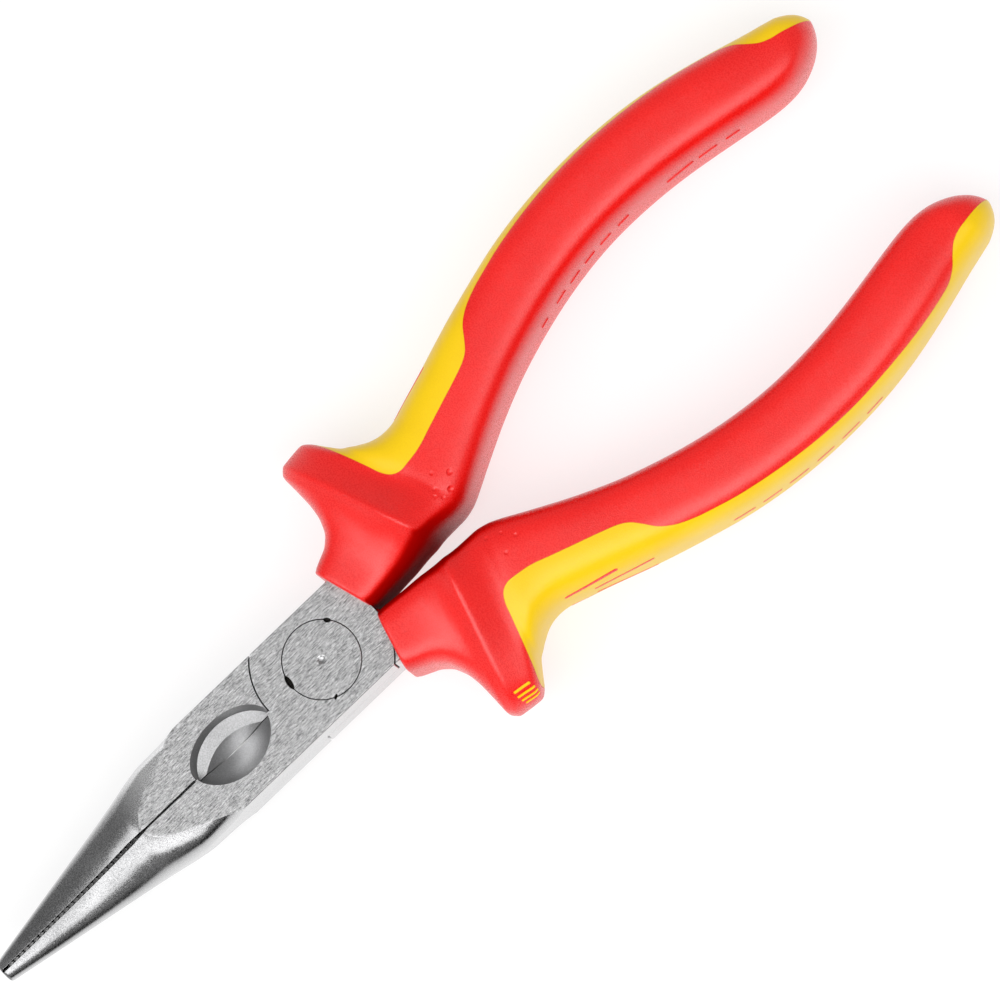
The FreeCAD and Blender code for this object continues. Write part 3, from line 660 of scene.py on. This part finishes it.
def ball_set(name, items):
    """Small balls that bite the given depth into the skin."""
    verts, faces = [], []
    m, n = 24, 12
    for x, y, side, r, depth in items:
        p, nrm = top_point(x, y, side)
        c = p + nrm * (r - depth)
        base = len(verts)
        for j in range(1, n):
            t = math.pi * j / n
            for i in range(m):
                a = 2 * math.pi * (i + 0.5) / m
                verts.append((c[0] + r * math.sin(t) * math.cos(a), c[1] + r * math.sin(t) * math.sin(a),
                              c[2] + r * math.cos(t)))
        verts.append((c[0], c[1], c[2] + r))
        verts.append((c[0], c[1], c[2] - r))
        for j in range(n - 2):
            for i in range(m):
                k = (i + 1) % m
                faces.append((base + j * m + i, base + (j + 1) * m + i, base + (j + 1) * m + k, base + j * m + k))
        hi, lo = base + (n - 1) * m, base + (n - 1) * m + 1
        for i in range(m):
            k = (i + 1) % m
            faces.append((hi, base + i, base + k))
            faces.append((lo, base + (n - 2) * m + k, base + (n - 2) * m + i))
    return fix_normals(new_mesh(name, verts, faces))


PITS = [(5.5, -28.5, 1, 0.75, 0.17), (3.9, -27.1, 1, 0.75, 0.17), (4.4, -24.9, 1, 0.5, 0.10), (3.5, -25.6, 1, 0.5, 0.10),
        (6.9, -26.6, 1, 0.5, 0.10), (5.4, -25.4, 1, 0.45, 0.08),
        (3.9, -25.95, -1, 0.5, 0.10), (4.7, -27.9, -1, 0.5, 0.10), (6.2, -29.05, -1, 0.55, 0.12), (7.3, -26.6, -1, 0.5, 0.10)]
boolean(skin, ball_set("pits", PITS))

seam = 0.010
wide = prism("field_wide", field_plan(seam), -14, 14)
tight = prism("field_tight", field_plan(-seam), -14, 14)
relief = disc("relief", 9.65, -4.75, LAP)
boolean(skin, relief)
cover = copy_of(skin, "right_grip_cover_red")
boolean(cover, wide)
field = copy_of(skin, "right_grip_core_yellow")
boolean(field, tight, "INTERSECT")
drop(skin)
for ob in (cover, field):
    tidy(ob, merge=0.004)


# bars let into the outer back, and other small raised marks
flat_rings = rings.reshape(-1, 3)
wall_tree = BVHTree.FromPolygons(
    [tuple(map(float, v)) for v in flat_rings],
    [(j * NU + i, j * NU + (i + 1) % NU, (j + 1) * NU + (i + 1) % NU, (j + 1) * NU + i)
     for j in range(len(rings) - 1) for i in range(NU)])


def wall_point(y, z, inner=False):
    """Point and outward normal of a grip's outer (or inner) wall at y and height."""
    def at(yy, zz):
        if inner:
            hit = wall_tree.ray_cast(Vector((-5.0, yy, zz)), Vector((1.0, 0.0, 0.0)))[0]
        else:
            hit = wall_tree.ray_cast(Vector((60.0, yy, zz)), Vector((-1.0, 0.0, 0.0)))[0]
        return np.array(hit)
    p = at(y, z)
    a = at(y - 0.5, z) - at(y + 0.5, z)
    b = at(y, z + 0.5) - at(y, z - 0.5)
    nrm = np.cross(a, b)
    nrm /= np.linalg.norm(nrm)
    if (nrm[0] < 0) != inner:
        nrm = -nrm
    return p, nrm


def pill_set(name, items, raise_mm, sink_mm, inner=False, round_ends=True):
    """Plain bars that follow the wall: a crowned top and sides let into the grip."""
    verts, faces = [], []
    for y, z, length, width, lean in items:
        ca, sa = math.cos(math.radians(lean)), math.sin(math.radians(lean))
        nl = max(8, int(length / 0.35))
        loops = []
        outline = []
        r = width / 2
        L = length / 2 - (r if round_ends else 0)
        for k in range(nl + 1):
            outline.append((-L + 2 * L * k / nl, -r))
        for t in np.linspace(-90, 90, 9)[1:-1]:
            outline.append((L + r * math.cos(math.radians(t)), r * math.sin(math.radians(t))))
        for k in range(nl + 1):
            outline.append((L - 2 * L * k / nl, r))
        for t in np.linspace(90, 270, 9)[1:-1]:
            outline.append((-L + r * math.cos(math.radians(t)), r * math.sin(math.radians(t))))
        for scale, up in ((1.0, -sink_mm), (1.0, raise_mm * 0.4), (0.82, raise_mm * 0.85), (0.5, raise_mm), (0.03, raise_mm)):
            loop = []
            for a, b in outline:
                core = max(-L, min(L, a))
                aa = core + (a - core) * scale if scale > 0.04 else core
                bb = b * scale
                dy, dz = aa * ca - bb * sa, aa * sa + bb * ca
                p, nrm = wall_point(y - dy, z + dz, inner)
                loop.append(tuple(p + nrm * up))
            loops.append(loop)
        m = len(outline)
        base = len(verts)
        for loop in loops:
            verts.extend(loop)
        for j in range(len(loops) - 1):
            for i in range(m):
                k = (i + 1) % m
                faces.append((base + j * m + i, base + j * m + k, base + (j + 1) * m + k, base + (j + 1) * m + i))
        faces.append(tuple(base + i for i in range(m))[::-1])
        faces.append(tuple(base + (len(loops) - 1) * m + i for i in range(m)))
    ob = new_mesh(name, verts, faces)
    return tidy(ob, merge=0.0005)


def merge_into(ob, *others):
    """Adds other meshes to a piece as further shells of it."""
    bm = bmesh.new()
    bm.from_mesh(ob.data)
    for o in others:
        bm.from_mesh(o.data)
    bm.to_mesh(ob.data)
    bm.free()
    ob.data.update()
    drop(*others)


# short plain ticks on the inner wall, and four yellow lines on the guard's end
TICKS = [(-50.6, 1.4, 1.5, 0.75, 8.0), (-54.4, 1.5, 2.1, 0.85, 8.0), (-57.5, 1.5, 2.1, 0.85, 8.0), (-60.6, 1.6, 2.1, 0.85, 8.0),
         (-63.7, 1.6, 2.1, 0.85, 8.0), (-67.0, 1.6, 2.1, 0.85, 8.0),
         (-76.6, 1.6, 4.4, 0.75, 10.0), (-81.0, 1.7, 3.0, 1.0, 6.0), (-84.8, 1.7, 2.2, 1.0, 4.0)]
merge_into(cover, pill_set("ticks", TICKS, 0.14, 0.4, inner=True))
LINES = [(-16.05, -4.85, 2.5, 0.26, 9.0), (-16.1, -4.2, 2.7, 0.26, 9.0), (-16.15, -3.5, 2.6, 0.26, 9.0), (-16.2, -2.75, 2.3, 0.26, 9.0)]
merge_into(field, pill_set("lines", LINES, 0.10, 0.4))
cover_l = half_turn(copy_of(cover, "left_grip_cover_red"))
field_l = half_turn(copy_of(field, "left_grip_core_yellow"))

BARS = [(-31.6, 4.6, 7.6, 0.6, 10.0), (-35.6, 2.4, 8.4, 0.6, 10.0),
        (-52.0, 0.0, 3.2, 0.7, 0.0), (-56.2, 0.0, 3.0, 0.7, 0.0), (-60.4, 0.0, 3.2, 0.7, 0.0),
        (-64.8, 0.0, 3.0, 0.7, 0.0), (-69.2, 0.0, 3.2, 0.7, 0.0), (-73.6, 0.0, 3.0, 0.7, 0.0)]
both_faces = [(y, z * s, l, w, a * s) for s in (1, -1) for y, z, l, w, a in BARS if s > 0 or z != 0]
bars = pill_set("right_back_bars_red", both_faces, 0.05, 0.7)
bars_l = half_turn(copy_of(bars, "left_back_bars_red"))

finish_piece(front, FRONT, ["front_jaw_half"], 22, True)
finish_piece(rear, REAR, ["rear_jaw_half"], 22, True)
finish_piece(rivet, REAR, ["joint_rivet"], 30, True)
finish_piece(cover, FRONT, ["right_grip_cover"], 40)
finish_piece(field, FRONT, ["right_grip_core"], 40)
finish_piece(cover_l, REAR, ["left_grip_cover"], 40)
finish_piece(field_l, REAR, ["left_grip_core"], 40)
finish_piece(bars, FRONT, ["right_back_bars"], 40)
finish_piece(bars_l, REAR, ["left_back_bars"], 40)
STEEL = [front, rear]
RED = [cover, cover_l, bars, bars_l]
YELLOW = [field, field_l]


# ------------------------------------------------------------------- materials
class Nodes:
    def __init__(self, name):
        self.mat = bpy.data.materials.new(name)
        self.mat.use_nodes = True
        self.t = self.mat.node_tree
        self.bsdf = self.t.nodes["Principled BSDF"]
        tex = self.t.nodes.new("ShaderNodeTexCoord")
        self.coord, self.normal_out = tex.outputs["Object"], tex.outputs["Normal"]

    def node(self, kind, **values):
        n = self.t.nodes.new(kind)
        for k, v in values.items():
            setattr(n, k, v)
        return n

    def put(self, sock, value):
        if isinstance(value, bpy.types.NodeSocket):
            self.t.links.new(value, sock)
        else:
            sock.default_value = value

    def math(self, op, a, b=0.0, c=0.0, clamp=False):
        n = self.node("ShaderNodeMath", operation=op, use_clamp=clamp)
        for s, v in zip(n.inputs, (a, b, c)):
            self.put(s, v)
        return n.outputs[0]

    def noise(self, scale_xyz, detail=3.0, rough=0.55, vec=None, dist=0.0):
        m = self.node("ShaderNodeVectorMath", operation="MULTIPLY")
        self.put(m.inputs[0], vec or self.coord)
        m.inputs[1].default_value = scale_xyz
        n = self.node("ShaderNodeTexNoise")
        self.put(n.inputs["Vector"], m.outputs[0])
        n.inputs["Scale"].default_value = 1.0
        n.inputs["Detail"].default_value = detail
        n.inputs["Roughness"].default_value = rough
        n.inputs["Distortion"].default_value = dist
        return n.outputs["Fac"]

    def remap(self, v, a, b, c, d, smooth=False):
        n = self.node("ShaderNodeMapRange")
        if smooth:
            n.interpolation_type = "SMOOTHSTEP"
        self.put(n.inputs["Value"], v)
        for k, x in zip(("From Min", "From Max", "To Min", "To Max"), (a, b, c, d)):
            self.put(n.inputs[k], x)
        return n.outputs["Result"]

    def mix(self, fac, a, b):
        n = self.node("ShaderNodeMix", data_type="RGBA")
        self.put(n.inputs[0], fac)
        self.put(n.inputs[6], a)
        self.put(n.inputs[7], b)
        return n.outputs[2]

    def blend(self, fac, a, b):
        n = self.node("ShaderNodeMix", data_type="FLOAT")
        self.put(n.inputs[0], fac)
        self.put(n.inputs[2], a)
        self.put(n.inputs[3], b)
        return n.outputs[0]

    def bump(self, height, strength, dist, normal=None):
        n = self.node("ShaderNodeBump")
        n.inputs["Strength"].default_value = strength
        n.inputs["Distance"].default_value = dist
        self.put(n.inputs["Height"], height)
        if normal is not None:
            self.put(n.inputs["Normal"], normal)
        return n.outputs["Normal"]


def rivet_gap_shade(m):
    """1 in the thin ring and the nicks round the rivet head, just below the ground face, where shade is painted
    near-black.
    """
    sep = m.node("ShaderNodeSeparateXYZ")
    m.put(sep.inputs[0], m.coord)
    off = m.math("ABSOLUTE", m.math("SUBTRACT", sep.outputs[2], 0.0045))
    r2 = m.math("ADD", m.math("POWER", m.math("ABSOLUTE", sep.outputs[0]), 2.0),
                m.math("POWER", m.math("ABSOLUTE", sep.outputs[1]), 2.0))
    ring = m.math("MULTIPLY", m.math("GREATER_THAN", r2, 0.0040 ** 2), m.math("LESS_THAN", r2, 0.0062 ** 2))
    return m.math("MULTIPLY", ring, m.math("LESS_THAN", off, 0.00436))


def steel_material():
    m = Nodes("ground_steel")
    b = m.bsdf
    b.inputs["Metallic"].default_value = 1.0
    sep = m.node("ShaderNodeSeparateXYZ")
    m.put(sep.inputs[0], m.coord)
    # 1 on the two ground faces, 0 on the nose, flanks and recesses
    off = m.math("ABSOLUTE", m.math("SUBTRACT", sep.outputs[2], 0.0045))
    flat = m.remap(off, 0.00448, 0.004495, 0.0, 1.0)
    streak = m.noise((7800.0, 760.0, 7800.0), 2.0, 0.6)
    streak2 = m.noise((9000.0, 2000.0, 9000.0), 2.0, 0.6)
    grain = m.noise((7600.0, 6000.0, 7600.0), 2.0, 0.6)
    cloud = m.noise((240.0, 110.0, 200.0), 2.0, 0.5)
    tone = m.math("ADD", m.math("MULTIPLY", streak, 0.42), m.math("MULTIPLY", streak2, 0.33))
    tone = m.math("ADD", tone, m.math("MULTIPLY", grain, 0.25))
    tone = m.remap(tone, 0.38, 0.62, 0.0, 1.0)
    face = m.mix(tone, (0.15, 0.15, 0.152, 1), (0.72, 0.72, 0.725, 1))
    speck = m.remap(m.math("ADD", m.math("MULTIPLY", grain, 0.7), m.math("MULTIPLY", cloud, 0.3)), 0.38, 0.62, 0, 1)
    nrm = m.node("ShaderNodeSeparateXYZ")
    m.put(nrm.inputs[0], m.normal_out)
    # look only, painted light and shade: the two sloping sides of the nose get different base colours to set their
    # brightness, one painted light near the joint and darker towards the tip, the other painted dark; this is tuned
    # and isn't a known difference in finish
    lean = m.remap(m.math("MULTIPLY", nrm.outputs[0], nrm.outputs[2]), -0.06, 0.06, 0.0, 1.0, True)
    far = m.remap(sep.outputs[1], 0.025, 0.034, 0.0, 1.0, True)
    right = m.mix(far, m.mix(speck, (0.66, 0.66, 0.665, 1), (0.92, 0.92, 0.925, 1)),
                  m.mix(speck, (0.15, 0.15, 0.152, 1), (0.34, 0.34, 0.343, 1)))
    nose = m.mix(lean, m.mix(speck, (0.13, 0.13, 0.132, 1), (0.33, 0.33, 0.333, 1)), right)
    # 1 inside the cutter's oval hollow, given its own colours
    ex = m.math("POWER", m.math("DIVIDE", sep.outputs[0], 0.00445), 2.0)
    ey = m.math("POWER", m.math("DIVIDE", m.math("SUBTRACT", sep.outputs[1], 0.01595), 0.0066), 2.0)
    oval = m.math("LESS_THAN", m.math("ADD", ex, ey), 1.0)
    hollow = m.math("MULTIPLY", oval, m.math("LESS_THAN", off, 0.00447))
    dull = m.mix(speck, (0.37, 0.37, 0.373, 1), (0.55, 0.55, 0.555, 1))
    # painted shade: the narrow walls that face each other across the parting line are painted near-black
    side = m.math("ABSOLUTE", nrm.outputs[0])
    wall = m.math("MULTIPLY", m.math("GREATER_THAN", side, 0.8),
                  m.math("LESS_THAN", m.math("ABSOLUTE", sep.outputs[0]), 0.00060))
    wall = m.math("MULTIPLY", wall, m.math("SUBTRACT", 1.0, hollow))
    level = m.remap(m.math("ABSOLUTE", nrm.outputs[2]), 0.84, 0.90, 0.0, 1.0)
    dull = m.mix(level, dull, m.mix(speck, (0.18, 0.18, 0.182, 1), (0.30, 0.30, 0.303, 1)))
    # look only, painted light: a lighter base colour on the flanks makes them look more brightly lit, tuned
    nose = m.mix(m.remap(side, 0.62, 0.96, 0.0, 1.0, True), nose,
                 m.mix(speck, (0.56, 0.56, 0.565, 1), (0.68, 0.68, 0.685, 1)))
    shade = m.mix(hollow, m.mix(flat, nose, face), dull)
    # painted shade: the gap and nicks round the rivet head are painted near-black
    shade = m.mix(rivet_gap_shade(m), shade, (0.03, 0.027, 0.025, 1))
    # the painted shade on the parting-line walls goes over all else
    m.put(b.inputs["Base Color"], m.mix(wall, shade, (0.035, 0.033, 0.032, 1)))
    rough_face = m.remap(m.math("ADD", m.math("MULTIPLY", streak2, 0.6), m.math("MULTIPLY", grain, 0.4)),
                         0.35, 0.65, 0.32, 0.50)
    rough_nose = m.remap(grain, 0.35, 0.65, 0.17, 0.30)
    m.put(b.inputs["Roughness"], m.blend(m.math("MAXIMUM", flat, hollow), rough_nose, rough_face))
    h = m.math("ADD", m.math("MULTIPLY", streak, 0.6), m.math("MULTIPLY", grain, 0.6))
    h = m.math("MULTIPLY", h, m.blend(flat, 0.35, 1.0))
    m.put(b.inputs["Normal"], m.bump(h, 0.45, 0.00003))
    return m.mat


def rivet_material():
    m = Nodes("rivet_steel")
    b = m.bsdf
    b.inputs["Metallic"].default_value = 1.0
    streak = m.noise((7800.0, 760.0, 7800.0), 2.0, 0.6)
    streak2 = m.noise((9000.0, 2000.0, 9000.0), 2.0, 0.6)
    grain = m.noise((7600.0, 6000.0, 7600.0), 2.0, 0.6)
    tone = m.math("ADD", m.math("MULTIPLY", streak, 0.42), m.math("MULTIPLY", streak2, 0.33))
    tone = m.math("ADD", tone, m.math("MULTIPLY", grain, 0.25))
    tone = m.remap(tone, 0.38, 0.62, 0.0, 1.0)
    face = m.mix(tone, (0.15, 0.15, 0.152, 1), (0.72, 0.72, 0.725, 1))
    # painted shade: the gap and nicks round the rivet head are painted near-black
    m.put(b.inputs["Base Color"], m.mix(rivet_gap_shade(m), face, (0.03, 0.027, 0.025, 1)))
    m.put(b.inputs["Roughness"], m.remap(grain, 0.35, 0.65, 0.32, 0.50))
    h = m.math("ADD", m.math("MULTIPLY", streak, 0.6), m.math("MULTIPLY", grain, 0.6))
    m.put(b.inputs["Normal"], m.bump(h, 0.45, 0.00003))
    return m.mat


def plastic(name, low, high, rough, texture, gloss):
    """Moulded grip plastic: fine spark-eroded grain, a little tone variation."""
    m = Nodes(name)
    b = m.bsdf
    grain = m.noise((5200.0, 5200.0, 5200.0), 3.0, 0.65)
    fine = m.noise((11000.0, 11000.0, 11000.0), 2.0, 0.5)
    cloud = m.noise((150.0, 150.0, 150.0), 2.0, 0.5)
    tone = m.remap(m.math("ADD", m.math("MULTIPLY", grain, 0.6), m.math("MULTIPLY", cloud, 0.4)), 0.35, 0.65, 0, 1)
    m.put(b.inputs["Base Color"], m.mix(tone, low, high))
    m.put(b.inputs["Roughness"], m.remap(grain, 0.3, 0.7, rough - 0.06, rough + 0.06))
    h = m.math("ADD", m.math("MULTIPLY", grain, 0.6), m.math("MULTIPLY", fine, 0.4))
    m.put(b.inputs["Normal"], m.bump(h, texture, 0.00006))
    # look only: base colour and reflection are cut on the facing walls beside the joint,
    # to stand in for shade that the white floor would otherwise fill
    sep, nrm = m.node("ShaderNodeSeparateXYZ"), m.node("ShaderNodeSeparateXYZ")
    m.put(sep.inputs[0], m.coord)
    m.put(nrm.inputs[0], m.normal_out)
    inner = m.math("MULTIPLY", m.remap(m.math("ABSOLUTE", nrm.outputs[0]), 0.55, 0.85, 0.0, 1.0, True),
                   m.remap(m.math("ABSOLUTE", sep.outputs[0]), 0.0105, 0.0050, 0.0, 1.0, True))
    inner = m.math("MULTIPLY", inner, m.remap(sep.outputs[1], -0.034, -0.020, 0.0, 1.0, True))
    b.inputs["Specular IOR Level"].default_value = gloss
    m.put(b.inputs["IOR"], m.blend(inner, 1.5, 1.01))
    dark = (low[0] * 0.46, low[1] * 0.46, low[2] * 0.46, 1)
    m.put(b.inputs["Base Color"], m.mix(inner, m.mix(tone, low, high), dark))
    return m.mat


steel_mat = steel_material()
rivet_mat = rivet_material()
red_mat = plastic("grip_red", (0.82, 0.002, 0.001, 1), (0.93, 0.005, 0.002, 1), 0.28, 0.9, 0.66)
yellow_mat = plastic("grip_yellow", (0.90, 0.57, 0.0, 1), (0.96, 0.63, 0.0, 1), 0.34, 0.6, 0.36)
for ob, mat in [(o, steel_mat) for o in STEEL] + [(rivet, rivet_mat)] + [(o, red_mat) for o in RED] \
        + [(o, yellow_mat) for o in YELLOW]:
    ob.data.materials.clear()
    ob.data.materials.append(mat)
for name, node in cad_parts.items():
    mat = {"front_jaw_half": steel_mat, "rear_jaw_half": steel_mat, "joint_rivet": rivet_mat,
           "right_grip_core": yellow_mat, "left_grip_core": yellow_mat}.get(name, red_mat)
    node.data.materials.clear()
    node.data.materials.append(mat)

# --------------------------------------------------------------- floor, lights
floor_z = CAD_BOX[0][2]
floor = new_mesh("floor", [(-3, -3, floor_z), (3, -3, floor_z), (3, 3, floor_z), (-3, 3, floor_z)], [(0, 1, 2, 3)])
fm = bpy.data.materials.new("floor_paper")
fm.use_nodes = True
fm.node_tree.nodes["Principled BSDF"].inputs["Base Color"].default_value = (0.34, 0.34, 0.34, 1)
fm.node_tree.nodes["Principled BSDF"].inputs["Emission Color"].default_value = (1, 1, 1, 1)
fm.node_tree.nodes["Principled BSDF"].inputs["Emission Strength"].default_value = 0.70
fm.node_tree.nodes["Principled BSDF"].inputs["Roughness"].default_value = 0.9
fm.node_tree.nodes["Principled BSDF"].inputs["Specular IOR Level"].default_value = 0.1
floor.data.materials.append(fm)

world = bpy.data.worlds.new("studio")
scene.world = world
world.use_nodes = True
world.node_tree.nodes["Background"].inputs["Color"].default_value = (1, 1, 1, 1)
wt = world.node_tree
# a plain dim room, darker low on the -X side
wc = wt.nodes.new("ShaderNodeTexCoord")
ws = wt.nodes.new("ShaderNodeSeparateXYZ")
wt.links.new(wc.outputs["Generated"], ws.inputs[0])
wr = wt.nodes.new("ShaderNodeMapRange")
wr.interpolation_type = "SMOOTHSTEP"
wt.links.new(ws.outputs[0], wr.inputs["Value"])
for key, val in (("From Min", -0.93), ("From Max", -0.80), ("To Min", 0.03), ("To Max", 0.44)):
    wr.inputs[key].default_value = val
wt.links.new(wr.outputs["Result"], wt.nodes["Background"].inputs["Strength"])

CENTRE = Vector((-0.0003, -0.0306, 0.0045))


def softbox(name, toward, tilt_deg, dist, wide, high, radiance):
    """Area light leaned from overhead by tilt towards a plan direction."""
    ld = bpy.data.lights.new(name, "AREA")
    ld.shape = "RECTANGLE"
    ld.size, ld.size_y = wide, high
    ld.energy = radiance * math.pi * wide * high
    ob = bpy.data.objects.new(name, ld)
    scene.collection.objects.link(ob)
    a = Vector((toward[0], toward[1], 0)).normalized()
    t = math.radians(tilt_deg)
    d = a * math.sin(t) + Vector((0, 0, 1)) * math.cos(t)
    ob.location = CENTRE + d * dist
    xq = Vector((0, 0, 1)).cross(a)
    yq = d.cross(xq)
    ob.rotation_euler = Matrix((xq, yq, d)).transposed().to_euler()
    return ob


softbox("key", (-0.72, 0.69), 24.0, 2.0, 3.2, 1.2, 3.5)

# --------------------------------------------------------------------- camera
PHI = math.radians(10.0)
s1 = Vector((math.cos(PHI), 0, math.sin(PHI)))
s2 = Vector((0, 1, 0))
right = -0.69260 * s1 - 0.72132 * s2
up = 0.72132 * s1 - 0.69260 * s2
back = right.cross(up)
cam_data = bpy.data.cameras.new("camera")
cam_data.sensor_width = 36.0
DIST = 0.9
cam_data.lens = 36.0 * DIST / 0.1286
cam_data.clip_start, cam_data.clip_end = 0.05, 20.0
cam = bpy.data.objects.new("camera", cam_data)
scene.collection.objects.link(cam)
cam.matrix_world = Matrix((right, up, back)).transposed().to_4x4()
cam.location = CENTRE + back * DIST
scene.camera = cam
scene.view_settings.view_transform = "Standard"
scene.view_settings.look = "None"
